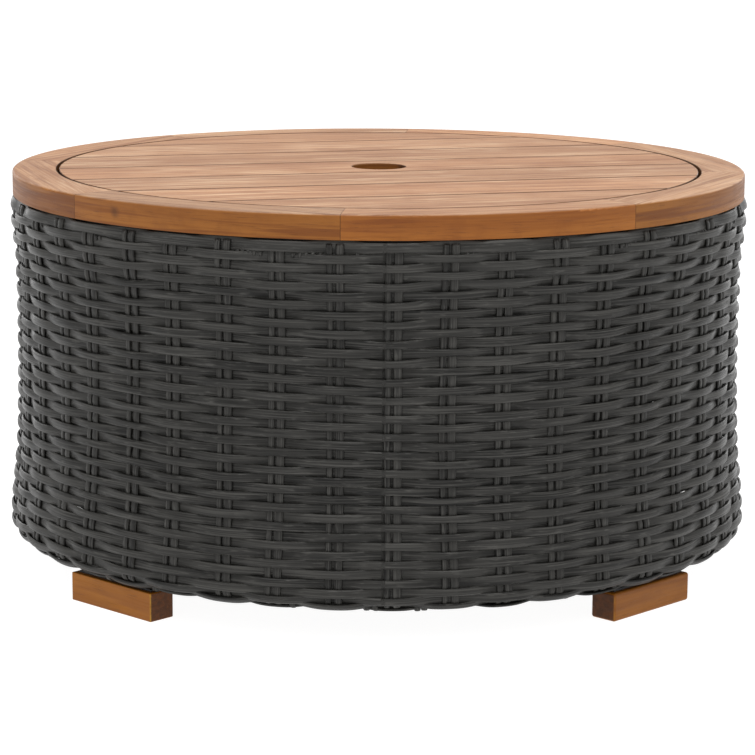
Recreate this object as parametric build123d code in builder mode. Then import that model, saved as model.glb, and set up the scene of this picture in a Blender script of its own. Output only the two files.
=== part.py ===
from build123d import *
import os
from math import cos, degrees, radians, sin

# A round garden coffee table: a woven drum on a welded hoop frame, four timber feet,
# a timber rim made of eight segments, and a slatted timber lid with a pole hole that
# lifts out of the rim.
# Sizes are in millimetres and angles in degrees. The origin is on the ground under the
# centre of the table, +Z is up and -Y is the front.

# Driving dimensions
TOP_RADIUS = 400.0
HEIGHT = 428.0
BOARD_THICKNESS = 25.0

# Timber rim
RIM_WIDTH = 47.0
RIM_SEGMENTS = 8
RIM_SEAM_ANGLE = -6.5
RIM_TOP_EDGE_RADIUS = 2.5
RIM_LOW_EDGE_RADIUS = 2.0
RIM_INNER_EDGE_RADIUS = 1.2
RIM_JOINT_GAP = 0.2

# Slatted lid
LID_GAP = 3.5
LID_TURN = 13.8
SLAT_COUNT = 7
SLAT_PITCH = 101.0
SLAT_GAP = 3.0
SLAT_EDGE_RADIUS = 0.8
POLE_HOLE_RADIUS = 30.0
POLE_HOLE_EDGE_RADIUS = 1.0
BATTEN_OFFSET = 120.0
BATTEN_WIDTH = 40.0
BATTEN_THICKNESS = 20.0
BATTEN_LENGTH = 600.0
BATTEN_EDGE = 2.0

# Steel frame
FLANGE_THICKNESS = 3.0
FLANGE_INNER_RADIUS = 335.0
FLANGE_OUTER_RADIUS = 390.0
HOOP_RADIUS = 381.0
TOP_HOOP_WIDTH = 18.0
TOP_HOOP_CORNER = 2.5
BOTTOM_HOOP_TUBE_RADIUS = 8.0
BOTTOM_HOOP_HEIGHT = 50.0
TUBE_WALL = 1.5
POST_COUNT = 8
POST_RADIUS = 6.0

# Timber feet and their plates
FOOT_ANGLES = (-135.0, -45.0, 45.0, 135.0)
FOOT_EDGE_RADII = (1.2, 3.0, 1.6, 2.2)
FOOT_LENGTH = 123.0
FOOT_THICKNESS = 31.0
FOOT_HEIGHT = 30.0
FOOT_FACE_RADIUS = 395.0
PLATE_THICKNESS = 2.0
PLATE_INSET = 6.0
PEG_RADIUS = 5.0
PEG_OFFSET = 25.0
PEG_CLEARANCE = 1.0

# Woven strand work
STRAND_WALL = 9.0
WALL_TOP = 388.0
WALL_BOTTOM = 49.0
WALL_BORDER_GAP = 0.3
TOP_BORDER_INNER_RADIUS = 391.5
TOP_BORDER_WIDTH = 11.5
TOP_BORDER_HEIGHT = 12.2
TOP_BORDER_ROUND = 4.0
ROLL_REACH = 14.0
ROLL_LOWEST = 32.6
ROLL_END_ANGLE = 215.0
HOOP_CLEARANCE = 0.3

# The drum's outer outline as (height, radius): slightly waisted, with a low bulge
WALL_OUTLINE = (
    (WALL_TOP, 403.6),
    (362.0, 401.8),
    (338.0, 399.2),
    (298.0, 398.2),
    (238.0, 398.2),
    (178.0, 399.2),
    (128.0, 401.4),
    (88.0, 405.6),
    (WALL_BOTTOM, 408.8),
)

# Screws
SCREW_RADIUS = 2.25
LID_SCREW_LENGTH = 38.0
LID_SCREW_HEAD_RADIUS = 4.5
END_SCREW_OFFSET = 276.0
RIM_SCREW_LENGTH = 18.0
RIM_SCREW_HEAD_RADIUS = 4.0
RIM_SCREW_HEAD_HEIGHT = 2.6
RIM_SCREW_CIRCLE = 358.5
RIM_SCREW_SPREAD = 12.0
FOOT_SCREW_RADIUS = 3.0
FOOT_SCREW_HEAD_RADIUS = 5.0
FOOT_SCREW_HEAD_HEIGHT = 5.0
FOOT_BORE_RADIUS = 6.0
FOOT_BORE_DEPTH = 9.0
FOOT_SCREW_OFFSET = 42.0

# Derived sizes
BOARD_BOTTOM = HEIGHT - BOARD_THICKNESS
RIM_INNER_RADIUS = TOP_RADIUS - RIM_WIDTH
LID_RADIUS = RIM_INNER_RADIUS - LID_GAP
SEGMENT_ARC = 360.0 / RIM_SEGMENTS
JOINT_GAP_ARC = degrees(RIM_JOINT_GAP / TOP_RADIUS)
FLANGE_BOTTOM = BOARD_BOTTOM - FLANGE_THICKNESS
TOP_HOOP_BOTTOM = FLANGE_BOTTOM - TOP_HOOP_WIDTH
BATTEN_BOTTOM = BOARD_BOTTOM - BATTEN_THICKNESS
PLATE_TOP = FOOT_HEIGHT + PLATE_THICKNESS
FOOT_MIDDLE_RADIUS = FOOT_FACE_RADIUS - FOOT_THICKNESS / 2
TOP_BORDER_BOTTOM = WALL_TOP + WALL_BORDER_GAP
ROLL_TOP = WALL_BOTTOM - WALL_BORDER_GAP
WRAP_INNER_RADIUS = BOTTOM_HOOP_TUBE_RADIUS + HOOP_CLEARANCE
WRAP_OUTER_RADIUS = BOTTOM_HOOP_HEIGHT - ROLL_LOWEST
WRAP_THICKNESS = WRAP_OUTER_RADIUS - WRAP_INNER_RADIUS
WRAP_ARC = 270.0 - ROLL_END_ANGLE
SLAT_OFFSETS = [(index - (SLAT_COUNT - 1) / 2) * SLAT_PITCH for index in range(SLAT_COUNT)]
SLAT_SCREW_OFFSETS = [max(-END_SCREW_OFFSET, min(END_SCREW_OFFSET, offset)) for offset in SLAT_OFFSETS]

os.makedirs("parts", exist_ok=True)


def level_plane(height, angle):
    """A level plane whose local X points outward from the table's axis at this angle."""
    return Plane.XY.offset(height).rotated((0, 0, angle))


def underside_plane(height, angle):
    """A level plane that faces down, with local X outward at this angle."""
    outward = (cos(radians(angle)), sin(radians(angle)), 0)
    return Plane(origin=(0, 0, height), x_dir=outward, z_dir=(0, 0, -1))


def upright_plane(angle):
    """An upright plane through the table's axis: local X is the radius and local Y the height."""
    outward = (cos(radians(angle)), sin(radians(angle)), 0)
    across = (sin(radians(angle)), -cos(radians(angle)), 0)
    return Plane(origin=(0, 0, 0), x_dir=outward, z_dir=across)


def is_pole_hole_edge(edge):
    """Whether this edge is a rim of the pole hole."""
    return edge.geom_type == GeomType.CIRCLE and abs(edge.radius - POLE_HOLE_RADIUS) < 0.01


def save(builder, name):
    """Label a finished piece and write it under its own name."""
    builder.part.label = name
    export_step(builder.part, f"parts/{name}.step")


# Timber rim: eight segments of a ring, butted end to end, each held by two screws from below
rim_screw_angles = []
for index in range(RIM_SEGMENTS):
    start = RIM_SEAM_ANGLE + index * SEGMENT_ARC
    middle = start + SEGMENT_ARC / 2
    screw_angles = (middle - RIM_SCREW_SPREAD, middle + RIM_SCREW_SPREAD)
    rim_screw_angles.extend(screw_angles)
    with BuildPart() as rim_segment:
        with BuildSketch(upright_plane(start + JOINT_GAP_ARC / 2)) as section:
            with Locations((RIM_INNER_RADIUS, BOARD_BOTTOM)):
                Rectangle(RIM_WIDTH, BOARD_THICKNESS, align=(Align.MIN, Align.MIN))
            low_corners, top_corners = section.vertices().group_by(Axis.Y)
            inner_top, outer_top = top_corners.sort_by(Axis.X)
            outer_low = low_corners.sort_by(Axis.X)[-1]
            fillet(outer_top, RIM_TOP_EDGE_RADIUS)
            fillet(outer_low, RIM_LOW_EDGE_RADIUS)
            fillet(inner_top, RIM_INNER_EDGE_RADIUS)
        revolve(axis=Axis.Z, revolution_arc=SEGMENT_ARC - JOINT_GAP_ARC)
        for angle in screw_angles:
            with Locations(underside_plane(BOARD_BOTTOM, angle)):
                with Locations((RIM_SCREW_CIRCLE, 0)):
                    Hole(SCREW_RADIUS, RIM_SCREW_LENGTH - FLANGE_THICKNESS)
    save(rim_segment, f"rim_segment_{index + 1}")

# Slatted lid: seven boards cut to one disc, the middle one with the pole hole
for index, offset in enumerate(SLAT_OFFSETS):
    with BuildPart() as lid_slat:
        with BuildSketch(level_plane(BOARD_BOTTOM, LID_TURN)):
            with Locations((0, offset)):
                Rectangle(2 * TOP_RADIUS, SLAT_PITCH - SLAT_GAP)
            Circle(LID_RADIUS, mode=Mode.INTERSECT)
        extrude(amount=BOARD_THICKNESS)
        fillet(lid_slat.faces().sort_by(Axis.Z)[-1].edges(), SLAT_EDGE_RADIUS)
        if offset == 0:
            with Locations(level_plane(HEIGHT, 0)):
                Hole(POLE_HOLE_RADIUS)
            hole_edges = lid_slat.edges().filter_by(is_pole_hole_edge)
            fillet(hole_edges.sort_by(Axis.Z)[-1], POLE_HOLE_EDGE_RADIUS)
        for side in (-1, 1):
            with Locations(underside_plane(BOARD_BOTTOM, LID_TURN)):
                with Locations((side * BATTEN_OFFSET, -SLAT_SCREW_OFFSETS[index])):
                    Hole(SCREW_RADIUS, LID_SCREW_LENGTH - BATTEN_THICKNESS)
    save(lid_slat, f"lid_slat_{index + 1}")

# Two battens tie the slats together from below
for number, side in enumerate((-1, 1), start=1):
    with BuildPart() as lid_batten:
        with BuildSketch(level_plane(BATTEN_BOTTOM, LID_TURN)):
            with Locations((side * BATTEN_OFFSET, 0)):
                Rectangle(BATTEN_WIDTH, BATTEN_LENGTH)
        extrude(amount=BATTEN_THICKNESS)
        chamfer(lid_batten.faces().sort_by(Axis.Z)[0].edges(), BATTEN_EDGE)
        for offset in SLAT_SCREW_OFFSETS:
            with Locations(underside_plane(BATTEN_BOTTOM, LID_TURN)):
                with Locations((side * BATTEN_OFFSET, offset)):
                    CounterSinkHole(SCREW_RADIUS, LID_SCREW_HEAD_RADIUS, BATTEN_THICKNESS)
    save(lid_batten, f"lid_batten_{number}")

# The lid's wood screws, driven up through the battens
head_height = LID_SCREW_HEAD_RADIUS - SCREW_RADIUS
with BuildPart() as lid_screws:
    for side in (-1, 1):
        for offset in SLAT_SCREW_OFFSETS:
            with Locations(level_plane(BATTEN_BOTTOM, LID_TURN)):
                with Locations((side * BATTEN_OFFSET, offset)):
                    Cylinder(SCREW_RADIUS, LID_SCREW_LENGTH, align=(Align.CENTER, Align.CENTER, Align.MIN))
                    Cone(
                        LID_SCREW_HEAD_RADIUS,
                        SCREW_RADIUS,
                        head_height,
                        align=(Align.CENTER, Align.CENTER, Align.MIN),
                    )
save(lid_screws, "lid_screws")

# A flat steel ring carries the rim and is the ledge that the lid rests on
with BuildPart() as top_flange:
    with BuildSketch(Plane.XY.offset(FLANGE_BOTTOM)):
        Circle(FLANGE_OUTER_RADIUS)
        Circle(FLANGE_INNER_RADIUS, mode=Mode.SUBTRACT)
        for angle in rim_screw_angles:
            with PolarLocations(RIM_SCREW_CIRCLE, 1, start_angle=angle):
                Circle(SCREW_RADIUS, mode=Mode.SUBTRACT)
    extrude(amount=FLANGE_THICKNESS)
save(top_flange, "top_flange")

# Pan-head screws fix the flange to the rim from below
with BuildPart() as rim_screws:
    for angle in rim_screw_angles:
        with Locations(level_plane(FLANGE_BOTTOM, angle)):
            with Locations((RIM_SCREW_CIRCLE, 0)):
                Cylinder(SCREW_RADIUS, RIM_SCREW_LENGTH, align=(Align.CENTER, Align.CENTER, Align.MIN))
                Cylinder(
                    RIM_SCREW_HEAD_RADIUS,
                    RIM_SCREW_HEAD_HEIGHT,
                    align=(Align.CENTER, Align.CENTER, Align.MAX),
                )
save(rim_screws, "rim_screws")

# Top hoop: square tube under the flange
with BuildPart() as top_hoop:
    with BuildSketch(Plane.XZ):
        with Locations((HOOP_RADIUS, TOP_HOOP_BOTTOM + TOP_HOOP_WIDTH / 2)):
            RectangleRounded(TOP_HOOP_WIDTH, TOP_HOOP_WIDTH, TOP_HOOP_CORNER)
            inner_width = TOP_HOOP_WIDTH - 2 * TUBE_WALL
            RectangleRounded(inner_width, inner_width, TOP_HOOP_CORNER - TUBE_WALL, mode=Mode.SUBTRACT)
    revolve(axis=Axis.Z)
save(top_hoop, "top_hoop")

# Bottom hoop: round tube inside the rolled lower edge of the weave
with BuildPart() as bottom_hoop:
    with BuildSketch(Plane.XZ):
        with Locations((HOOP_RADIUS, BOTTOM_HOOP_HEIGHT)):
            Circle(BOTTOM_HOOP_TUBE_RADIUS)
            Circle(BOTTOM_HOOP_TUBE_RADIUS - TUBE_WALL, mode=Mode.SUBTRACT)
    revolve(axis=Axis.Z)
save(bottom_hoop, "bottom_hoop")

# Upright tubes between the hoops, notched to sit on the round lower hoop
with BuildPart() as hoop_envelope:
    with BuildSketch(Plane.XZ):
        with Locations((HOOP_RADIUS, BOTTOM_HOOP_HEIGHT)):
            Circle(BOTTOM_HOOP_TUBE_RADIUS)
    revolve(axis=Axis.Z)
for index in range(POST_COUNT):
    with BuildPart() as post:
        with BuildSketch(level_plane(BOTTOM_HOOP_HEIGHT, index * 360.0 / POST_COUNT)):
            with Locations((HOOP_RADIUS, 0)):
                Circle(POST_RADIUS)
                Circle(POST_RADIUS - TUBE_WALL, mode=Mode.SUBTRACT)
        extrude(amount=TOP_HOOP_BOTTOM - BOTTOM_HOOP_HEIGHT)
        add(hoop_envelope.part, mode=Mode.SUBTRACT)
    save(post, f"post_{index + 1}")

# Feet: timber blocks set across the diagonals, with their screws sunk in from below
for number, angle in enumerate(FOOT_ANGLES, start=1):
    with BuildPart() as foot:
        with BuildSketch(level_plane(0, angle)):
            with Locations((FOOT_MIDDLE_RADIUS, 0)):
                Rectangle(FOOT_THICKNESS, FOOT_LENGTH)
        extrude(amount=FOOT_HEIGHT)
        fillet(foot.edges(), FOOT_EDGE_RADII[number - 1])
        with Locations(underside_plane(0, angle)):
            with Locations((FOOT_MIDDLE_RADIUS, -FOOT_SCREW_OFFSET), (FOOT_MIDDLE_RADIUS, FOOT_SCREW_OFFSET)):
                CounterBoreHole(FOOT_SCREW_RADIUS, FOOT_BORE_RADIUS, FOOT_BORE_DEPTH, FOOT_HEIGHT)
    save(foot, f"foot_{number}")

    # Each foot hangs from a steel plate with two pegs that are welded to the lower hoop
    with BuildPart() as foot_plate:
        with BuildSketch(level_plane(FOOT_HEIGHT, angle)):
            with Locations((FOOT_MIDDLE_RADIUS, 0)):
                Rectangle(FOOT_THICKNESS - 2 * PLATE_INSET, FOOT_LENGTH - 2 * PLATE_INSET)
            for side in (-1, 1):
                with Locations((FOOT_MIDDLE_RADIUS, side * FOOT_SCREW_OFFSET)):
                    Circle(FOOT_SCREW_RADIUS, mode=Mode.SUBTRACT)
        extrude(amount=PLATE_THICKNESS)
        with BuildSketch(level_plane(PLATE_TOP, angle)):
            with Locations((HOOP_RADIUS, -PEG_OFFSET), (HOOP_RADIUS, PEG_OFFSET)):
                Circle(PEG_RADIUS)
        extrude(amount=BOTTOM_HOOP_HEIGHT - PLATE_TOP)
        add(hoop_envelope.part, mode=Mode.SUBTRACT)
    save(foot_plate, f"foot_plate_{number}")

# Machine screws from under the feet into the plates
with BuildPart() as foot_screws:
    for angle in FOOT_ANGLES:
        with Locations(level_plane(FOOT_BORE_DEPTH, angle)):
            with Locations((FOOT_MIDDLE_RADIUS, -FOOT_SCREW_OFFSET), (FOOT_MIDDLE_RADIUS, FOOT_SCREW_OFFSET)):
                Cylinder(
                    FOOT_SCREW_RADIUS,
                    PLATE_TOP - FOOT_BORE_DEPTH,
                    align=(Align.CENTER, Align.CENTER, Align.MIN),
                )
                Cylinder(
                    FOOT_SCREW_HEAD_RADIUS,
                    FOOT_SCREW_HEAD_HEIGHT,
                    align=(Align.CENTER, Align.CENTER, Align.MAX),
                )
save(foot_screws, "foot_screws")

# The woven wall of the drum, as one closed skin between the two borders
with BuildPart() as wicker_wall:
    with BuildSketch(Plane.XZ):
        with BuildLine():
            outside = Spline(*[(radius, height) for height, radius in WALL_OUTLINE])
            inside = Spline(*[(radius - STRAND_WALL, height) for height, radius in WALL_OUTLINE])
            Line(outside @ 0, inside @ 0)
            Line(outside @ 1, inside @ 1)
        make_face()
    revolve(axis=Axis.Z)
save(wicker_wall, "wicker_wall")

# The top border lies around the flange, just under the rim
with BuildPart() as wicker_top_border:
    with BuildSketch(Plane.XZ) as border_section:
        with Locations((TOP_BORDER_INNER_RADIUS, TOP_BORDER_BOTTOM)):
            Rectangle(TOP_BORDER_WIDTH, TOP_BORDER_HEIGHT, align=(Align.MIN, Align.MIN))
        fillet(border_section.vertices().group_by(Axis.X)[-1], TOP_BORDER_ROUND)
    revolve(axis=Axis.Z)
save(wicker_top_border, "wicker_top_border")

# The bottom border rolls in under the wall and wraps round the lower hoop
wall_foot_radius = WALL_OUTLINE[-1][1]
roll_centre = (wall_foot_radius - ROLL_REACH, ROLL_TOP)
roll_drop = ROLL_TOP - ROLL_LOWEST
inner_reach = ROLL_REACH - WRAP_THICKNESS
inner_drop = roll_drop - WRAP_THICKNESS
hoop_centre = (HOOP_RADIUS, BOTTOM_HOOP_HEIGHT)
with BuildPart() as wicker_bottom_border:
    with BuildSketch(Plane.XZ):
        with BuildLine():
            outer_roll = EllipticalCenterArc(roll_centre, ROLL_REACH, roll_drop, start_angle=270, arc_size=90)
            inner_roll = EllipticalCenterArc(roll_centre, inner_reach, inner_drop, start_angle=270, arc_size=90)
            outer_wrap = CenterArc(hoop_centre, WRAP_OUTER_RADIUS, ROLL_END_ANGLE, WRAP_ARC)
            inner_wrap = CenterArc(hoop_centre, WRAP_INNER_RADIUS, ROLL_END_ANGLE, WRAP_ARC)
            Line(outer_roll @ 1, inner_roll @ 1)
            Line(outer_roll @ 0, outer_wrap @ 1)
            Line(inner_roll @ 0, inner_wrap @ 1)
            Line(outer_wrap @ 0, inner_wrap @ 0)
        make_face()
    revolve(axis=Axis.Z)
    for angle in FOOT_ANGLES:
        with BuildSketch(level_plane(PLATE_TOP, angle)):
            with Locations((HOOP_RADIUS, -PEG_OFFSET), (HOOP_RADIUS, PEG_OFFSET)):
                Circle(PEG_RADIUS + PEG_CLEARANCE)
        extrude(amount=BOTTOM_HOOP_HEIGHT - PLATE_TOP, mode=Mode.SUBTRACT)
save(wicker_bottom_border, "wicker_bottom_border")
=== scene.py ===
import math

import bpy
import numpy as np
from mathutils import Matrix, Vector


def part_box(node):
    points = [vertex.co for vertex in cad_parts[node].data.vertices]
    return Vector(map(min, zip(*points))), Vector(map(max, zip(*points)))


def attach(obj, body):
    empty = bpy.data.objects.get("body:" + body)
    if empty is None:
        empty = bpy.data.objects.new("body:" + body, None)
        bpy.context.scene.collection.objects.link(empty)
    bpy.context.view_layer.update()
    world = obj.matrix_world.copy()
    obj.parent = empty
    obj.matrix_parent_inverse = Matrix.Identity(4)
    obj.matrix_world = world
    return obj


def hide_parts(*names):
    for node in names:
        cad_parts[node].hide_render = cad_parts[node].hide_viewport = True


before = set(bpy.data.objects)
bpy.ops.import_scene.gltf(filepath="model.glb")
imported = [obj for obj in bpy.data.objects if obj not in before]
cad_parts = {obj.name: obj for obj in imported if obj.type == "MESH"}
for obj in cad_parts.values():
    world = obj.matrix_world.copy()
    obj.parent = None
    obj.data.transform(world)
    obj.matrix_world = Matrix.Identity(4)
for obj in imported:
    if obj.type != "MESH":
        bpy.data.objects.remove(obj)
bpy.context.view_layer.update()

# Sizes are in metres. Azimuth 0 is the table's front (-Y) and grows towards +X.
rng = np.random.default_rng(7)

# Where the frame is
rim_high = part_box("rim_segment_1")[1]
wall_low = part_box("wicker_wall")[0]
roll_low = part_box("wicker_bottom_border")[0]
border_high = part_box("wicker_top_border")[1]
hoop_low, hoop_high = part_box("bottom_hoop")
TABLE_TOP = rim_high.z
TABLE_RADIUS = 0.400
RIM_WIDTH = 0.047
RIM_SEGMENTS = 8
LID_RADIUS = 0.3495
LID_TURN = math.radians(13.8)
SLATS = 7
BATTENS = 2
SLAT_PITCH = 0.101
SLAT_GAP = 0.003
POLE_HOLE_RADIUS = 0.030
FEET = 4
FOOT_LENGTH = 0.123
FOOT_FACE_RADIUS = 0.395
WEAR_WIDTH = 0.0018
RIM_SEAM_ANGLE = math.radians(-6.5)
HOOP_TUBE = (hoop_high.z - hoop_low.z) / 2
HOOP_RADIUS = hoop_high.x - HOOP_TUBE
HOOP_HEIGHT = (hoop_high.z + hoop_low.z) / 2

# Weave
STAKE_PAIRS = 44
STAKE_WIDTHS = (0.0064, 0.0088)
STAKE_GAP = 0.0020
STAKE_THICKNESS = 0.0020
STAKE_STEP = 0.0042
STAKE_TOP = 0.0030
STAKE_DODGE = 0.0006
CREST_WIDTH = 0.0091
CREST_SPREAD = 0.0011
SHOULDER_WIDTH = 0.0098
NECK_OVERLAP = 0.0070
STRAND_THICKNESS = 0.0025
STRAND_SWING = 0.0029
SWING_ROUNDNESS = 1.25
WEAVE_HALF = 0.0055
ROW_PITCH = 0.00925
TOP_ROW = 0.0069
TOP_ROW_GAP = 0.0027
TOP_ROW_EXTRA = 0.0022
ROUND_SAMPLES = STAKE_PAIRS * 14
SECTION_POINTS = 12
FIRST_STAKE = math.radians(0.8)
NEST_SIZE = 0.0012
NEST_ROWS = 6.0

# Top border: a rod behind the first rounds, and the short turns wound on it
ROD_DEPTH = 0.0022
ROD_WIDTH = 0.0040
ROD_THICKNESS = 0.0012
TURN_HALF_OUT = 0.0036
TURN_HALF_UP = 0.0026
TURN_WIDTH = 0.0036
TURN_THICKNESS = 0.0009

# Bottom border: core strands inside the roll, and the turns that lash them
CORE_REACH = 0.046
CORE_PITCH = 0.0080
CORE_DEPTH = 0.0042
CORE_OVERLAP = 1.3
LASHING_OUT = 0.0125
LASHING_UP = 0.0068
LASHING_HALF_OUT = 0.0048
LASHING_HALF_UP = 0.0056
LASHING_WIDTH = 0.0064
LASHING_THICKNESS = 0.0014

# The drum's outer outline as (height, radius), from just under the rim to the start of the roll
WALL_OUTLINE = (
    (border_high.z + 0.0025, 0.4014),
    (0.388, 0.4034),
    (0.362, 0.4018),
    (0.338, 0.3992),
    (0.298, 0.3982),
    (0.238, 0.3982),
    (0.178, 0.3992),
    (0.128, 0.4014),
    (0.088, 0.4056),
    (wall_low.z, 0.4088),
)
ROLL_REACH = 0.014
WRAP_TURN = math.radians(55)


# --- Strand geometry -------------------------------------------------------------------------


def direction(azimuth, outward, up):
    """Vectors that point outward and up by these amounts, at these azimuths."""
    outward = np.broadcast_to(outward, azimuth.shape)
    up = np.broadcast_to(up, azimuth.shape)
    return np.stack([outward * np.sin(azimuth), -outward * np.cos(azimuth), up], axis=1)


def around(azimuth):
    """Unit vectors along the circle, towards growing azimuth."""
    return np.stack([np.cos(azimuth), np.sin(azimuth), np.zeros_like(azimuth)], axis=1)


def strand_section(points):
    """A flat section with round edges, a little fuller on its outer side."""
    turn = np.linspace(0, 2 * math.pi, points, endpoint=False)
    side = np.sign(np.cos(turn)) * np.abs(np.cos(turn)) ** 0.85
    height = np.sin(turn)
    outer = np.abs(height) ** 0.60
    return side, np.where(height >= 0, outer, 0.40 * height)


def strand_faces(count, points, closed):
    """Four-cornered faces between this many rings of points, with end caps unless they close up."""
    last = count if closed else count - 1
    row = np.arange(last)[:, None]
    next_row = (row + 1) % count
    column = np.arange(points)[None, :]
    next_column = (column + 1) % points
    corners = [
        row * points + column,
        row * points + next_column,
        next_row * points + next_column,
        next_row * points + column,
    ]
    quads = np.stack(corners, axis=2).reshape(-1, 4)
    if closed:
        return quads
    half = np.arange(points // 2 - 1)
    cap = np.stack([points - 1 - half, points - 2 - half, half + 1, half], axis=1)
    return np.concatenate([quads, cap, cap + (count - 1) * points])


class Strands:
    """Strands that end up in one mesh, with their own lengthwise coordinates for the grain."""

    def __init__(self, points=SECTION_POINTS):
        self.section = strand_section(points)
        self.vertices = []
        self.faces = []
        self.grain = []
        self.total = 0

    def add(self, centres, across, out, width, thickness, closed):
        """One strand through these centres, as wide as width along the vectors in across."""
        side, height = self.section
        count = len(centres)
        points = len(side)
        width = np.broadcast_to(width, count)
        thickness = np.broadcast_to(thickness, count)
        spread = side[None, :, None] * across[:, None, :] * width[:, None, None] / 2
        bulge = height[None, :, None] * out[:, None, :] * thickness[:, None, None]
        rings = centres[:, None, :] + spread + bulge
        self.vertices.append(rings.reshape(-1, 3))
        self.faces.append(strand_faces(count, points, closed) + self.total)
        self.total += count * points
        steps = np.linalg.norm(np.diff(centres, axis=0), axis=1)
        length = np.concatenate([[0.0], np.cumsum(steps)])
        grain = np.zeros((count, points, 3))
        grain[:, :, 0] = length[:, None] + rng.uniform(0, 10)
        grain[:, :, 1] = side[None, :] * width[:, None] / 2
        grain[:, :, 2] = rng.uniform(0, 1)
        self.grain.append(grain.reshape(-1, 3))

    def mesh_object(self, name):
        """The collected strands as one smooth mesh object."""
        vertices = np.concatenate(self.vertices)
        faces = np.concatenate(self.faces)
        mesh = bpy.data.meshes.new(name)
        mesh.vertices.add(len(vertices))
        mesh.vertices.foreach_set("co", vertices.astype(np.float32).ravel())
        mesh.loops.add(faces.size)
        mesh.loops.foreach_set("vertex_index", faces.astype(np.int32).ravel())
        mesh.polygons.add(len(faces))
        mesh.polygons.foreach_set("loop_start", np.arange(0, faces.size, 4, dtype=np.int32))
        mesh.update(calc_edges=True)
        mesh.validate()
        mesh.polygons.foreach_set("use_smooth", np.ones(len(mesh.polygons), dtype=bool))
        grain = mesh.attributes.new("grain", "FLOAT_VECTOR", "POINT")
        grain.data.foreach_set("vector", np.concatenate(self.grain).astype(np.float32).ravel())
        piece = bpy.data.objects.new(name, mesh)
        bpy.context.collection.objects.link(piece)
        return piece


# --- The drum's surface ----------------------------------------------------------------------


def smooth_curve(points, samples):
    """A Catmull-Rom curve through the points."""
    points = np.array(points, dtype=float)
    padded = np.vstack([2 * points[0] - points[1], points, 2 * points[-1] - points[-2]])
    curve = []
    for index in range(len(points) - 1):
        a, b, c, d = padded[index : index + 4]
        t = np.linspace(0, 1, samples, endpoint=False)[:, None]
        squared = (2 * a - 5 * b + 4 * c - d) * t**2
        cubed = (3 * b - a - 3 * c + d) * t**3
        curve.append(0.5 * (2 * b + (c - a) * t + squared + cubed))
    curve.append(points[-1:])
    return np.concatenate(curve)


class Surface:
    """The weave as a curve from the rim, down the wall and under the lower hoop.

    Distances are measured on its outer side, and places are given at its middle.
    """

    def __init__(self):
        wall = smooth_curve([(radius, height) for height, radius in WALL_OUTLINE], 24)
        roll_radius = wall[-1, 0] - ROLL_REACH
        roll_drop = wall[-1, 1] - roll_low.z
        turn = np.linspace(0, math.pi / 2, 40)[1:]
        roll = np.stack(
            [roll_radius + ROLL_REACH * np.cos(turn), wall[-1, 1] - roll_drop * np.sin(turn)], axis=1
        )
        wrap_radius = HOOP_HEIGHT - roll_low.z
        turn = np.linspace(0, WRAP_TURN, 20)
        wrap = np.stack(
            [HOOP_RADIUS - wrap_radius * np.sin(turn), HOOP_HEIGHT - wrap_radius * np.cos(turn)], axis=1
        )
        outer = np.concatenate([wall, roll, wrap])
        steps = np.linalg.norm(np.diff(outer, axis=0), axis=1)
        self.along = np.concatenate([[0.0], np.cumsum(steps)])
        self.length = self.along[-1]
        tangent = np.gradient(outer, self.along, axis=0)
        self.tangent = tangent / np.linalg.norm(tangent, axis=1)[:, None]
        inward = np.stack([self.tangent[:, 1], -self.tangent[:, 0]], axis=1)
        self.points = outer + inward * WEAVE_HALF

    def at(self, distance):
        """Radius, height, and the downward tangent (outward, up) at this distance down the curve."""
        radius = np.interp(distance, self.along, self.points[:, 0])
        height = np.interp(distance, self.along, self.points[:, 1])
        outward = np.interp(distance, self.along, self.tangent[:, 0])
        up = np.interp(distance, self.along, self.tangent[:, 1])
        size = np.hypot(outward, up)
        return radius, height, outward / size, up / size


surface = Surface()
ROW_COUNT = int((surface.length - TOP_ROW - TOP_ROW_GAP) / ROW_PITCH)

# Each pair of stakes wanders a little on its way down, and is crossed by wider or narrower crests
stake_lean = rng.normal(0, 0.0026, STAKE_PAIRS)
stake_bow = rng.normal(0, 0.0014, STAKE_PAIRS)
stake_jitter = rng.normal(0, 0.0015, STAKE_PAIRS)
stake_phase = rng.uniform(0, 2 * math.pi, STAKE_PAIRS)
crest_widths = CREST_WIDTH + CREST_SPREAD * np.clip(rng.normal(0, 1, STAKE_PAIRS), -1.6, 1.6)
neck_widths = 2 * ROW_PITCH - crest_widths + NECK_OVERLAP


def row_distance(row):
    """How far down the surface this round of strand lies."""
    return TOP_ROW + row * ROW_PITCH + (TOP_ROW_GAP if row > 0 else 0.0)


def stake_azimuths(distance):
    """The azimuth of every pair of stakes at this distance down the wall, in order."""
    share = distance / surface.length
    radius = surface.at(distance)[0]
    bow = stake_bow * math.sin(4 * share) * np.cos(stake_phase)
    wander = stake_jitter + stake_lean * (share - 0.4) + bow
    return FIRST_STAKE + np.arange(STAKE_PAIRS) * 2 * math.pi / STAKE_PAIRS + wander / radius


def pair_position(azimuth, distance):
    """Where each azimuth lies between the pairs of stakes: a whole number is the middle of a pair."""
    stakes = stake_azimuths(distance)
    wrapped = np.concatenate([stakes, [stakes[0] + 2 * math.pi]])
    unrolled = (azimuth - stakes[0]) % (2 * math.pi) + stakes[0]
    return np.interp(unrolled, wrapped, np.arange(STAKE_PAIRS + 1))


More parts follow.
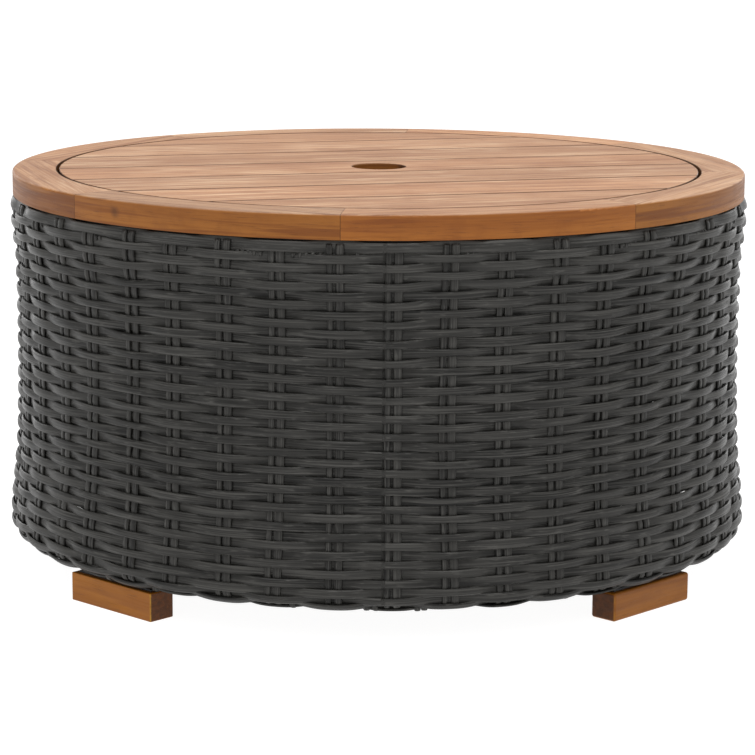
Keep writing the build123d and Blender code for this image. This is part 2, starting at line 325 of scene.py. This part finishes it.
def round_width(position, row):
    """The visible width of a round: wide over a pair, narrower at the shoulders, full behind a pair."""
    width = np.full_like(position, SHOULDER_WIDTH)
    for pair in range(STAKE_PAIRS):
        over = (pair + row) % 2 == 0
        target = crest_widths[pair] if over else neck_widths[pair]
        away = np.abs((position - pair + STAKE_PAIRS / 2) % STAKE_PAIRS - STAKE_PAIRS / 2)
        near = np.clip(np.cos(math.pi * np.minimum(away, 0.5)), 0, 1) ** 0.8
        width += (target - SHOULDER_WIDTH) * near
    return width + (TOP_ROW_EXTRA if row == 0 else 0.0)


def smooth_noise(count, knots, size):
    """Seeded noise round a circle, with this many knots."""
    values = rng.normal(0, size, knots)
    values = (values + np.roll(values, 1) + np.roll(values, -1)) / 1.7
    place = np.arange(count) / count * knots
    low = np.floor(place).astype(int)
    share = place - low
    ease = share * share * (3 - 2 * share)
    return values[low % knots] * (1 - ease) + values[(low + 1) % knots] * ease


# Neighbouring rounds nest, so they rise and fall together, and the pattern changes slowly down the wall
shared_rise = smooth_noise(ROUND_SAMPLES, STAKE_PAIRS, NEST_SIZE)
shared_turn = smooth_noise(ROUND_SAMPLES, STAKE_PAIRS, NEST_SIZE)


def woven_round(strands, row):
    """One round of flat strand, over one pair of stakes and under the next."""
    distance = row_distance(row)
    azimuth = np.linspace(0, 2 * math.pi, ROUND_SAMPLES, endpoint=False)
    position = pair_position(azimuth, distance)
    swing = np.cos(math.pi * (position + row))
    eased = np.sin(SWING_ROUNDNESS * swing) / math.sin(SWING_ROUNDNESS)
    nested = shared_rise * math.cos(row / NEST_ROWS) + shared_turn * math.sin(row / NEST_ROWS)
    loose = smooth_noise(ROUND_SAMPLES, STAKE_PAIRS, 0.00016)
    radius, height, outward, up = surface.at(distance + nested * min(1.0, row / 3) + loose)
    tilt = smooth_noise(ROUND_SAMPLES, STAKE_PAIRS, 0.10)
    lift = STRAND_SWING * eased + smooth_noise(ROUND_SAMPLES, STAKE_PAIRS, 0.00018)
    down = direction(azimuth, outward, up)
    normal = direction(azimuth, -up, outward)
    centres = direction(azimuth, radius, height) + normal * lift[:, None]
    across = down * np.cos(tilt)[:, None] + normal * np.sin(tilt)[:, None]
    out = normal * np.cos(tilt)[:, None] - down * np.sin(tilt)[:, None]
    width = round_width(position, row) + smooth_noise(ROUND_SAMPLES, STAKE_PAIRS, 0.00016)
    strands.add(centres, across, out, width, STRAND_THICKNESS, closed=True)


def stake_pair(strands, pair):
    """The two upright strands of one pair, from behind the top border to under the hoop."""
    distance = np.arange(STAKE_TOP, surface.length, STAKE_STEP)
    middle = np.array([stake_azimuths(d)[pair] for d in distance])
    radius, height, outward, up = surface.at(distance)
    row = (distance - TOP_ROW - TOP_ROW_GAP) / ROW_PITCH
    dodge = -STAKE_DODGE * np.cos(math.pi * (row + pair))
    pair_width = sum(STAKE_WIDTHS) + STAKE_GAP
    left = -pair_width / 2
    for width in STAKE_WIDTHS:
        sway = np.interp(distance, np.linspace(0, surface.length, 9), rng.normal(0, 0.00035, 9))
        azimuth = middle + (left + width / 2 + sway) / radius
        left += width + STAKE_GAP
        normal = direction(azimuth, -up, outward)
        centres = direction(azimuth, radius, height) + normal * (dodge + rng.uniform(-2e-4, 2e-4))[:, None]
        twist = rng.uniform(-0.12, 0.12)
        across = around(azimuth) * math.cos(twist) + normal * math.sin(twist)
        out = normal * math.cos(twist) - around(azimuth) * math.sin(twist)
        strands.add(centres, across, out, width, STAKE_THICKNESS, closed=False)


# --- Build the weave -------------------------------------------------------------------------


def place_weave(strands, name, material, node):
    """Make the strands one piece of the base, in place of this CAD node."""
    piece = strands.mesh_object(name)
    piece.data.materials.append(material)
    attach(piece, "base")
    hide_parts(node)


def build_rounds(material):
    """The rounds of strand, in bands from the top down."""
    band = 7
    for start in range(0, ROW_COUNT, band):
        strands = Strands()
        for row in range(start, min(start + band, ROW_COUNT)):
            woven_round(strands, row)
        place_weave(strands, f"weave_rounds_{start // band + 1}", material, "wicker_wall")


def build_stakes(material):
    """The stakes, a quarter of the drum at a time."""
    quarter = STAKE_PAIRS // 4
    for number in range(4):
        strands = Strands()
        for pair in range(number * quarter, (number + 1) * quarter):
            stake_pair(strands, pair)
        place_weave(strands, f"weave_stakes_{number + 1}", material, "wicker_wall")


def wrap_loop(strands, azimuth, centre, half_out, half_up, width, thickness, slant):
    """A small closed turn of strand round a centre, given as (radius, height)."""
    turn = np.linspace(0, 2 * math.pi, 20, endpoint=False)
    squared = 0.8
    outward = np.sign(np.cos(turn)) * np.abs(np.cos(turn)) ** squared
    up = np.sign(np.sin(turn)) * np.abs(np.sin(turn)) ** squared
    place = azimuth + slant * np.sin(turn) / centre[0]
    centres = direction(place, centre[0] + half_out * outward, centre[1] + half_up * up)
    normal = direction(place, np.cos(turn), np.sin(turn))
    strands.add(centres, around(place), normal, width, thickness, closed=True)


def build_top_border(material):
    """A rod behind the first rounds, wound here and there with short turns of strand."""
    strands = Strands(8)
    distance = row_distance(0.5) + TOP_ROW_GAP / 2
    radius, height, _, _ = surface.at(distance)
    rod_radius = radius - ROD_DEPTH
    azimuth = np.linspace(0, 2 * math.pi, STAKE_PAIRS * 8, endpoint=False)
    strands.add(
        direction(azimuth, rod_radius, height + 0 * azimuth),
        direction(azimuth, 0.0, -1.0),
        direction(azimuth, 1.0, 0.0),
        ROD_WIDTH,
        ROD_THICKNESS,
        closed=True,
    )
    pair_arc = 2 * math.pi / STAKE_PAIRS
    centre = (rod_radius, height)
    sizes = (TURN_HALF_OUT, TURN_HALF_UP, TURN_WIDTH, TURN_THICKNESS)
    for start in stake_azimuths(distance):
        place = start + rng.uniform(0.25, 0.45) * pair_arc
        for _ in range(rng.integers(0, 6)):
            slant = rng.uniform(-0.0008, 0.0008)
            wrap_loop(strands, place, centre, *sizes, slant)
            place += rng.uniform(0.0048, 0.0072) / rod_radius
    place_weave(strands, "weave_top_border", material, "wicker_top_border")


def build_bottom_border(material):
    """Core strands inside the roll, and here and there a few turns of strand that lash it."""
    strands = Strands(8)
    azimuth = np.linspace(0, 2 * math.pi, STAKE_PAIRS * 8, endpoint=False)
    for distance in np.arange(surface.length - CORE_REACH, surface.length, CORE_PITCH):
        radius, height, outward, up = surface.at(distance)
        middle = (radius + CORE_DEPTH * up, height - CORE_DEPTH * outward)
        centres = direction(azimuth, *middle)
        across = direction(azimuth, outward, up)
        normal = direction(azimuth, -up, outward)
        strands.add(centres, across, normal, CORE_OVERLAP * CORE_PITCH, STAKE_THICKNESS, closed=True)
    centre = (HOOP_RADIUS + LASHING_OUT, roll_low.z + LASHING_UP)
    for start in stake_azimuths(surface.length):
        place = start + rng.uniform(0.15, 0.60) * 2 * math.pi / STAKE_PAIRS
        for _ in range(rng.integers(0, 3)):
            half_up = LASHING_HALF_UP + rng.uniform(-0.0004, 0.0006)
            sizes = (LASHING_HALF_OUT, half_up, LASHING_WIDTH, LASHING_THICKNESS)
            wrap_loop(strands, place, centre, *sizes, rng.uniform(-0.002, 0.002))
            place += rng.uniform(0.0070, 0.0090) / HOOP_RADIUS
    place_weave(strands, "weave_bottom_lashing", material, "wicker_bottom_border")


# --- Materials -------------------------------------------------------------------------------

# Base colours of the timber. The top colours are paler than the side colours partly from weathering and
# partly as painted sheen and overhead light on the top faces
RIM_TOP = (0.285, 0.150, 0.076)
RIM_SIDE = (0.262, 0.090, 0.012)
LID_TOP = (0.304, 0.159, 0.081)
FOOT_SIDE = (0.262, 0.086, 0.003)
BATTEN_WOOD = (0.230, 0.110, 0.050)

# Factors that turn a base colour into the colour of a mark on the wood
DEEP = (0.60, 0.47, 0.36)
BRIGHT = (1.18, 1.22, 1.24)
PORE = (0.30, 0.20, 0.14)
BLEACHED = (1.45, 1.80, 2.15)
# End grain, darker than real end grain as painted shade for the foot ends that face in under the drum
SHADED_END_GRAIN = (0.17, 0.13, 0.05)
END_GRAIN_PALE = (2.2, 2.2, 2.2)
KNOT = (0.34, 0.30, 0.45)
WORN = (1.6, 2.6, 9.0)
# Painted shade in the gaps and seams between boards and down the pole hole
PAINTED_GAP_SHADE = (0.12, 0.12, 0.12)

# How light each board is against its base colour, in the order of the node names
RIM_TOP_TONES = (1.05, 1.22, 1.22, 1.10, 1.02, 1.00, 1.00, 1.05)
RIM_SIDE_TONES = (0.85, 1.00, 0.95, 1.00, 0.76, 1.04, 0.97, 0.76)
FOOT_TONES = (1.03, 0.80, 0.95, 0.90)

# The one knot, on the outer side of the rim
KNOT_SEGMENT = 6
KNOT_AZIMUTH = math.radians(-42.3)
KNOT_DEPTH = 0.011


class Shader:
    """A material under construction, with short calls for its nodes."""

    def __init__(self, name):
        self.material = bpy.data.materials.new(name)
        self.material.use_nodes = True
        self.tree = self.material.node_tree
        self.tree.nodes.clear()
        self.surface = self.node("ShaderNodeBsdfPrincipled")
        output = self.node("ShaderNodeOutputMaterial")
        self.link(self.surface.outputs["BSDF"], output.inputs["Surface"])

    def node(self, kind, **settings):
        made = self.tree.nodes.new(kind)
        for key, value in settings.items():
            setattr(made, key, value)
        return made

    def link(self, source, target):
        self.tree.links.new(source, target)

    def put(self, node, name, value):
        """Set an input by name to a number, a colour or another node's output."""
        socket = node.inputs[name]
        if isinstance(value, bpy.types.NodeSocket):
            self.link(value, socket)
        else:
            socket.default_value = value

    def mapping(self, source, turn=0.0, scale=(1, 1, 1), shift=(0, 0, 0)):
        """Coordinates turned about Z, then scaled and shifted."""
        made = self.node("ShaderNodeMapping", vector_type="TEXTURE")
        made.inputs["Rotation"].default_value = (0, 0, turn)
        self.link(source, made.inputs["Vector"])
        stretched = self.node("ShaderNodeMapping")
        stretched.inputs["Scale"].default_value = scale
        stretched.inputs["Location"].default_value = shift
        self.link(made.outputs["Vector"], stretched.inputs["Vector"])
        return stretched.outputs["Vector"]

    def noise(self, vector, scale=1.0, detail=2.0, rough=0.5, distortion=0.0):
        made = self.node("ShaderNodeTexNoise")
        self.put(made, "Vector", vector)
        self.put(made, "Scale", scale)
        self.put(made, "Detail", detail)
        self.put(made, "Roughness", rough)
        self.put(made, "Distortion", distortion)
        return made.outputs["Fac"]

    def span(self, value, low, high, out_low=0.0, out_high=1.0):
        """A smooth step from out_low to out_high, as the value goes from low to high."""
        made = self.node("ShaderNodeMapRange")
        made.interpolation_type = "SMOOTHSTEP"
        self.put(made, "Value", value)
        self.put(made, "From Min", low)
        self.put(made, "From Max", high)
        self.put(made, "To Min", out_low)
        self.put(made, "To Max", out_high)
        return made.outputs["Result"]

    def math(self, operation, a, b=0.0):
        made = self.node("ShaderNodeMath", operation=operation)
        for socket, value in zip(made.inputs, (a, b)):
            if isinstance(value, bpy.types.NodeSocket):
                self.link(value, socket)
            else:
                socket.default_value = value
        return made.outputs["Value"]

    def mix(self, share, first, second, blend="MIX"):
        """The first colour, with this share of the second mixed in."""
        made = self.node("ShaderNodeMix", data_type="RGBA", blend_type=blend)
        factor, a, b = made.inputs[0], made.inputs[6], made.inputs[7]
        for socket, value in ((factor, share), (a, first), (b, second)):
            if isinstance(value, bpy.types.NodeSocket):
                self.link(value, socket)
            elif socket is factor:
                socket.default_value = value
            else:
                socket.default_value = (*value, 1.0)
        return made.outputs[2]

    def part(self, vector, axis):
        made = self.node("ShaderNodeSeparateXYZ")
        self.link(vector, made.inputs["Vector"])
        return made.outputs[axis]

    def times(self, a, b):
        return self.math("MULTIPLY", a, b)

    def plus(self, a, b):
        return self.math("ADD", a, b)

    def radius(self, vector):
        """The distance from the Z axis."""
        x, y = self.part(vector, "X"), self.part(vector, "Y")
        return self.math("SQRT", self.plus(self.times(x, x), self.times(y, y)))

    def bump(self, height, distance, strength):
        made = self.node("ShaderNodeBump")
        self.put(made, "Height", height)
        made.inputs["Distance"].default_value = distance
        made.inputs["Strength"].default_value = strength
        return made.outputs["Normal"]


def wicker_material():
    """Charcoal resin strand with fine lengthwise ribs and scuffs. Its tone differs by strand."""
    shader = Shader("wicker_strand")
    grain = shader.node("ShaderNodeAttribute", attribute_name="grain").outputs["Vector"]
    ribs = shader.noise(shader.mapping(grain, scale=(9, 900, 30)), 1.0, 2.0, 0.60)
    scuffs = shader.noise(shader.mapping(grain, scale=(60, 420, 60)), 1.0, 3.0, 0.6)
    patches = shader.noise(shader.mapping(grain, scale=(17, 60, 60)), 1.0, 2.0, 0.5)
    tone = shader.part(grain, "Z")
    dark = (0.0052, 0.0050, 0.0044)
    middle = (0.0172, 0.0165, 0.0149)
    pale = (0.088, 0.085, 0.078)
    colour = shader.mix(shader.span(patches, 0.30, 0.70), dark, middle)
    colour = shader.mix(shader.times(shader.span(ribs, 0.42, 0.74), 0.62), colour, pale)
    colour = shader.mix(shader.times(shader.span(scuffs, 0.54, 0.76), 0.60), colour, pale)
    colour = shader.mix(shader.times(tone, 0.18), colour, pale)
    shader.put(shader.surface, "Base Color", colour)
    shader.put(shader.surface, "Roughness", shader.span(patches, 0.3, 0.7, 0.32, 0.52))
    shader.surface.inputs["Specular IOR Level"].default_value = 0.20
    relief = shader.plus(ribs, shader.times(scuffs, 0.5))
    shader.put(shader.surface, "Normal", shader.bump(relief, 0.0007, 0.8))
    return shader.material


class Timber(Shader):
    """The shader of one board, with its grain level and turned by this angle from +X."""

    def __init__(self, name, turn, seed):
        super().__init__(name)
        self.turn = turn
        self.shift = tuple(np.random.default_rng(seed).uniform(-3, 3, 3))
        coordinates = self.node("ShaderNodeTexCoord")
        self.place = coordinates.outputs["Object"]
        normal = coordinates.outputs["Normal"]
        self.at_top = self.span(self.part(self.place, "Z"), TABLE_TOP - 0.0016, TABLE_TOP - 0.0002)
        along = self.dot(normal, (math.cos(turn), math.sin(turn), 0))
        self.at_end = self.span(self.math("ABSOLUTE", along), 0.80, 0.97)
        self.flat = self.span(self.math("ABSOLUTE", self.part(normal, "Z")), 0.4, 0.8)

    def dot(self, vector, constant):
        made = self.node("ShaderNodeVectorMath", operation="DOT_PRODUCT")
        self.link(vector, made.inputs[0])
        made.inputs[1].default_value = constant
        return made.outputs["Value"]

    def stretched_noise(self, scale, detail, rough, distortion=0.0):
        """Noise with its own scale along the board, across it and upwards."""
        vector = self.mapping(self.place, self.turn, scale, self.shift)
        return self.noise(vector, 1.0, detail, rough, distortion)

    def streaks(self, along, across, detail, rough):
        """Streaks along the board, set close across its width on flat faces and up its height on sides."""
        on_flat = self.stretched_noise((along, across, 0.2 * across), detail, rough, 0.3)
        on_side = self.stretched_noise((along, 0.06 * across, across), detail, rough, 0.3)
        return self.plus(on_side, self.times(self.flat, self.math("SUBTRACT", on_flat, on_side)))

    def tint(self, colour, factors):
        """A colour multiplied by these factors."""
        return self.mix(1.0, colour, factors, "MULTIPLY")


def near_edge(wood, edges):
    """A mask that is 0 inside a board and grows towards its edges.

    Each edge is (kind, where, width, strength). Where is a radius, or a line's turn and offset.
    """
    mask = None
    for kind, where, width, strength in edges:
        if kind == "disc":
            away = wood.math("SUBTRACT", where, wood.radius(wood.place))
        elif kind == "bore":
            away = wood.math("SUBTRACT", wood.radius(wood.place), where)
        else:
            turn, offset = where
            across = wood.dot(wood.place, (-math.sin(turn), math.cos(turn), 0))
            away = wood.math("ABSOLUTE", wood.math("SUBTRACT", across, offset))
        found = wood.times(wood.span(away, width, 0.15 * width), strength)
        mask = found if mask is None else wood.math("MAXIMUM", mask, found)
    return mask


def worn_arris(wood):
    """Patchy wear along a foot's upright edges."""
    square = wood.turn - math.pi / 2
    ends = [("line", (square, side * FOOT_LENGTH / 2), WEAR_WIDTH, 1.0) for side in (-1, 1)]
    outer_face = [("line", (wood.turn, -FOOT_FACE_RADIUS), WEAR_WIDTH, 1.0)]
    patches = wood.noise(wood.place, 130.0, 3.0, 0.6)
    edge = wood.times(near_edge(wood, ends), near_edge(wood, outer_face))
    return wood.times(edge, wood.span(patches, 0.42, 0.60))


def knot_mark(wood, centre):
    """A small dark knot round this place."""
    wobble = wood.noise(wood.place, 60.0, 2.0, 0.5)
    away = wood.node("ShaderNodeVectorMath", operation="DISTANCE")
    wood.link(wood.place, away.inputs[0])
    away.inputs[1].default_value = centre
    reach = wood.plus(away.outputs["Value"], wood.times(wobble, 0.010))
    return wood.span(reach, 0.0135, 0.0060)


def bleached_flecks(wood, strength):
    """Short pale flecks, in patches, on the table's top surface only."""
    flecks = wood.stretched_noise((9, 240, 240), 2.0, 0.55)
    clouds = wood.noise(wood.place, 9.0, 2.0, 0.5)
    where = wood.times(wood.span(flecks, 0.53, 0.62), wood.span(clouds, 0.40, 0.58))
    return wood.times(wood.times(where, wood.at_top), strength)


def grain_colour(wood, base, fine, bands_across, contrast):
    """The base colour, made deeper by broad, banded and fine streaks and by smudges."""
    deep = wood.tint(base, DEEP)
    colour = wood.tint(base, BRIGHT)
    layers = (
        (wood.streaks(2.2, 26, 2.0, 0.5), 0.30, 0.70, 0.55),
        (wood.streaks(4.0, bands_across, 2.0, 0.55), 0.47, 0.64, 0.80),
        (fine, 0.45, 0.75, 0.38),
        (wood.noise(wood.place, 34.0, 3.0, 0.6), 0.48, 0.72, 0.30),
    )
    for pattern, low, high, share in layers:
        colour = wood.mix(wood.times(wood.span(pattern, low, high), share * contrast), colour, deep)
    return colour


def end_colour(wood, side):
    """Mottled end grain, made darker still as painted shade."""
    fibres = wood.span(wood.noise(wood.place, 170.0, 4.0, 0.7), 0.35, 0.70)
    dark = product(side, SHADED_END_GRAIN)
    return wood.mix(fibres, dark, product(dark, END_GRAIN_PALE))


def with_marks(wood, colour, side, edges, knot, worn):
    """The colour with the board's own marks, a knot and worn edges, and painted shade along its edges,
    gaps and seams.
    """
    if knot:
        colour = wood.mix(wood.times(knot_mark(wood, knot), 0.75), colour, product(side, KNOT))
    if worn:
        colour = wood.mix(wood.times(worn_arris(wood), 0.7), colour, product(side, WORN))
    # Painted shade along the board's gaps, seams and hole
    if edges:
        colour = wood.mix(near_edge(wood, edges), colour, product(side, PAINTED_GAP_SHADE))
    return colour


def wood_material(name, top, side, turn, seed, edges=(), flecks=0.0, contrast=1.0, knot=None, worn=False):
    """Oiled hardwood, paler in the top colour on the table's top surface only: partly weathered, partly
    painted sheen and overhead light.
    """
    wood = Timber(name, turn, seed)
    # The top face takes the paler top colour: partly weathering, partly painted sheen and overhead light
    base = wood.mix(wood.at_top, side, top)
    fine = wood.streaks(11, 420, 3.0, 0.6)
    pores = wood.span(wood.streaks(38, 1500, 2.0, 0.5), 0.60, 0.72)
    colour = grain_colour(wood, base, fine, 60 if worn else 120, contrast)
    colour = wood.mix(wood.times(pores, 0.40), colour, wood.tint(base, PORE))
    if flecks:
        colour = wood.mix(bleached_flecks(wood, flecks), colour, wood.tint(base, BLEACHED))
    # End faces get the dark end colour: real end grain plus painted shade
    colour = wood.mix(wood.times(wood.at_end, 0.92), colour, end_colour(wood, side))
    colour = with_marks(wood, colour, side, edges, knot, worn)
    wood.put(wood.surface, "Base Color", colour)
    wood.put(wood.surface, "Roughness", wood.span(fine, 0.2, 0.8, 0.44, 0.60))
    wood.surface.inputs["Specular IOR Level"].default_value = 0.26
    height = wood.math("SUBTRACT", fine, wood.times(pores, 0.8))
    wood.put(wood.surface, "Normal", wood.bump(height, 0.0003, 0.55))
    return wood.material


def steel_material():
    """Matt black powder coat with a fine orange-peel surface."""
    shader = Shader("powder_coat")
    place = shader.node("ShaderNodeTexCoord").outputs["Object"]
    peel = shader.noise(place, 900.0, 2.0, 0.5)
    dust = shader.noise(place, 18.0, 3.0, 0.6)
    colour = shader.mix(shader.span(dust, 0.4, 0.8), (0.02, 0.02, 0.021), (0.045, 0.044, 0.043))
    shader.put(shader.surface, "Base Color", colour)
    shader.put(shader.surface, "Roughness", shader.span(dust, 0.3, 0.8, 0.48, 0.66))
    shader.put(shader.surface, "Normal", shader.bump(peel, 0.0001, 0.5))
    return shader.material


def zinc_material():
    """Zinc-plated screws."""
    shader = Shader("zinc_plate")
    place = shader.node("ShaderNodeTexCoord").outputs["Object"]
    cloud = shader.noise(place, 300.0, 3.0, 0.6)
    colour = shader.mix(shader.span(cloud, 0.3, 0.8), (0.42, 0.42, 0.40), (0.62, 0.61, 0.57))
    shader.put(shader.surface, "Base Color", colour)
    shader.put(shader.surface, "Roughness", shader.span(cloud, 0.3, 0.8, 0.28, 0.45))
    shader.surface.inputs["Metallic"].default_value = 1.0
    return shader.material


def assign(node, material):
    """Give a carried-over CAD node its material."""
    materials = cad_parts[node].data.materials
    materials.clear()
    materials.append(material)


def azimuth_turn(node):
    """The direction from the axis to the middle of a node, as an angle from +X."""
    low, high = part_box(node)
    middle = (low + high) / 2
    return math.atan2(middle.y, middle.x)


def product(first, second):
    """Two colours multiplied."""
    return tuple(a * b for a, b in zip(first, second))


def tinted(colour, tone, warmth):
    """A board's own version of a colour."""
    return (colour[0] * tone, colour[1] * tone * warmth, colour[2] * tone * warmth**2)


def dress_rim(tones):
    """Rim segments, each with its own tone and painted shade in its seams and along the gap round the lid.
    """
    knot_x = TABLE_RADIUS * math.sin(KNOT_AZIMUTH)
    knot_y = -TABLE_RADIUS * math.cos(KNOT_AZIMUTH)
    knot_place = (knot_x, knot_y, TABLE_TOP - KNOT_DEPTH)
    # Painted shade along the gap round the lid
    rim_inside = ("bore", TABLE_RADIUS - RIM_WIDTH, 0.0010, 0.6)
    for index in range(RIM_SEGMENTS):
        name = f"rim_segment_{index + 1}"
        tone, warmth = tones.uniform(0.88, 1.10), tones.uniform(0.95, 1.06)
        seams = [RIM_SEAM_ANGLE + (index + end) * 2 * math.pi / RIM_SEGMENTS for end in (0, 1)]
        edges = [rim_inside] + [("line", (seam, 0.0), 0.0008, 0.38) for seam in seams]
        turn = azimuth_turn(name) + math.pi / 2
        top = tinted(RIM_TOP, tone * RIM_TOP_TONES[index], warmth)
        side = tinted(RIM_SIDE, tone * RIM_SIDE_TONES[index], warmth)
        knot = knot_place if index + 1 == KNOT_SEGMENT else None
        wood = wood_material(name + "_wood", top, side, turn, 100 + index, edges, flecks=0.45, knot=knot)
        assign(name, wood)


def dress_lid(tones):
    """Slats, with painted shade along their gaps, round the disc and round the pole hole, and the battens.
    """
    middle_slat = SLATS // 2
    half = (SLAT_PITCH - SLAT_GAP) / 2
    for index in range(SLATS):
        name = f"lid_slat_{index + 1}"
        tone, warmth = tones.uniform(0.91, 1.12), tones.uniform(0.95, 1.04)
        middle = (index - middle_slat) * SLAT_PITCH
        # Painted shade along the gaps between slats
        edges = [("line", (LID_TURN, middle + side * half), 0.0016, 0.8) for side in (-1, 1)]
        edges.append(("disc", LID_RADIUS, 0.0010, 0.6))
        # The middle slat also gets painted shade down the wall of its pole hole
        if index == middle_slat:
            edges.append(("bore", POLE_HOLE_RADIUS, 0.0010, 0.35))
        top, side = tinted(LID_TOP, tone, warmth), tinted(RIM_SIDE, tone, warmth)
        seed = 200 + index
        wood = wood_material(name + "_wood", top, side, LID_TURN, seed, edges, flecks=0.9, contrast=0.9)
        assign(name, wood)
    for index in range(BATTENS):
        name = f"lid_batten_{index + 1}"
        turn = LID_TURN + math.pi / 2
        assign(name, wood_material(name + "_wood", BATTEN_WOOD, BATTEN_WOOD, turn, 300 + index))


def dress_feet(tones):
    """Block feet, with worn upright edges."""
    for index in range(FEET):
        name = f"foot_{index + 1}"
        side = tinted(FOOT_SIDE, FOOT_TONES[index], tones.uniform(0.97, 1.03))
        turn = azimuth_turn(name) + math.pi / 2
        wood = wood_material(name + "_wood", side, side, turn, 400 + index, contrast=0.6, worn=True)
        assign(name, wood)


def dress_timber():
    """Every board gets its own cut of wood: its own tone, grain and seed."""
    tones = np.random.default_rng(21)
    dress_rim(tones)
    dress_lid(tones)
    dress_feet(tones)


def dress_metal():
    """Powder coat on the frame, and zinc on the screws."""
    steel = steel_material()
    zinc = zinc_material()
    hoops = ["top_flange", "top_hoop", "bottom_hoop"]
    posts = [f"post_{index + 1}" for index in range(8)]
    plates = [f"foot_plate_{index + 1}" for index in range(FEET)]
    for name in hoops + posts + plates:
        assign(name, steel)
    for name in ("lid_screws", "rim_screws", "foot_screws"):
        assign(name, zinc)


# --- Stage -----------------------------------------------------------------------------------


def build_floor():
    """A plain pale floor that glows a little, so that it renders white."""
    size = 40.0
    mesh = bpy.data.meshes.new("floor")
    corners = [(-size, -size, 0), (size, -size, 0), (size, size, 0), (-size, size, 0)]
    mesh.from_pydata(corners, [], [(0, 1, 2, 3)])
    floor = bpy.data.objects.new("floor", mesh)
    bpy.context.collection.objects.link(floor)
    shader = Shader("pale_floor")
    shader.surface.inputs["Base Color"].default_value = (0.25, 0.25, 0.25, 1)
    shader.surface.inputs["Roughness"].default_value = 0.9
    shader.surface.inputs["Emission Color"].default_value = (1, 1, 1, 1)
    shader.surface.inputs["Emission Strength"].default_value = 0.95
    mesh.materials.append(shader.material)


def area_light(name, position, target, width, height, power):
    """A soft light that is not seen itself."""
    light = bpy.data.lights.new(name, "AREA")
    light.shape = "RECTANGLE"
    light.size = width
    light.size_y = height
    light.energy = power
    lamp = bpy.data.objects.new(name, light)
    lamp.location = position
    lamp.visible_camera = False
    lamp.rotation_euler = (Vector(target) - Vector(position)).to_track_quat("-Z", "Y").to_euler()
    bpy.context.collection.objects.link(lamp)


def build_lights():
    """A bright even room, a large soft light overhead, and two weak ones behind the table's sides."""
    world = bpy.data.worlds.new("studio")
    world.use_nodes = True
    background = world.node_tree.nodes["Background"]
    background.inputs["Color"].default_value = (1, 1, 1, 1)
    background.inputs["Strength"].default_value = 0.8
    bpy.context.scene.world = world
    target = (0, 0, 0.3)
    area_light("overhead", (0, -0.2, 2.6), target, 2.6, 2.6, 75)
    for side in (-1, 1):
        area_light("edge", (1.5 * side, 2.4, 0.75), target, 1.2, 1.0, 8)


CAMERA_SENSOR = 36.0
CAMERA_LENS = 133.95
CAMERA_AZIMUTH = math.radians(-1.228)
CAMERA_AWAY = 3.0787
CAMERA_ABOVE_TOP = 0.3634
CAMERA_DOWN = 0.1926
CAMERA_ROLL = 0.0059


def build_camera():
    """The camera stands a little above the table top and looks down by about eleven degrees."""
    camera = bpy.data.cameras.new("camera")
    camera.sensor_width = CAMERA_SENSOR
    camera.lens = CAMERA_LENS
    camera.clip_end = 200
    seat = bpy.data.objects.new("camera", camera)
    x = CAMERA_AWAY * math.sin(CAMERA_AZIMUTH)
    y = -CAMERA_AWAY * math.cos(CAMERA_AZIMUTH)
    place = Vector((x, y, TABLE_TOP + CAMERA_ABOVE_TOP))
    turn = Matrix.Rotation(CAMERA_AZIMUTH, 4, "Z")
    tip = Matrix.Rotation(math.pi / 2 - CAMERA_DOWN, 4, "X")
    roll = Matrix.Rotation(CAMERA_ROLL, 4, "Z")
    seat.matrix_world = Matrix.Translation(place) @ turn @ tip @ roll
    bpy.context.collection.objects.link(seat)
    bpy.context.scene.camera = seat


# --- Make everything -------------------------------------------------------------------------

bpy.context.scene.view_settings.view_transform = "Standard"
build_camera()
strand = wicker_material()
build_rounds(strand)
build_stakes(strand)
build_top_border(strand)
build_bottom_border(strand)
dress_timber()
dress_metal()
build_floor()
build_lights()
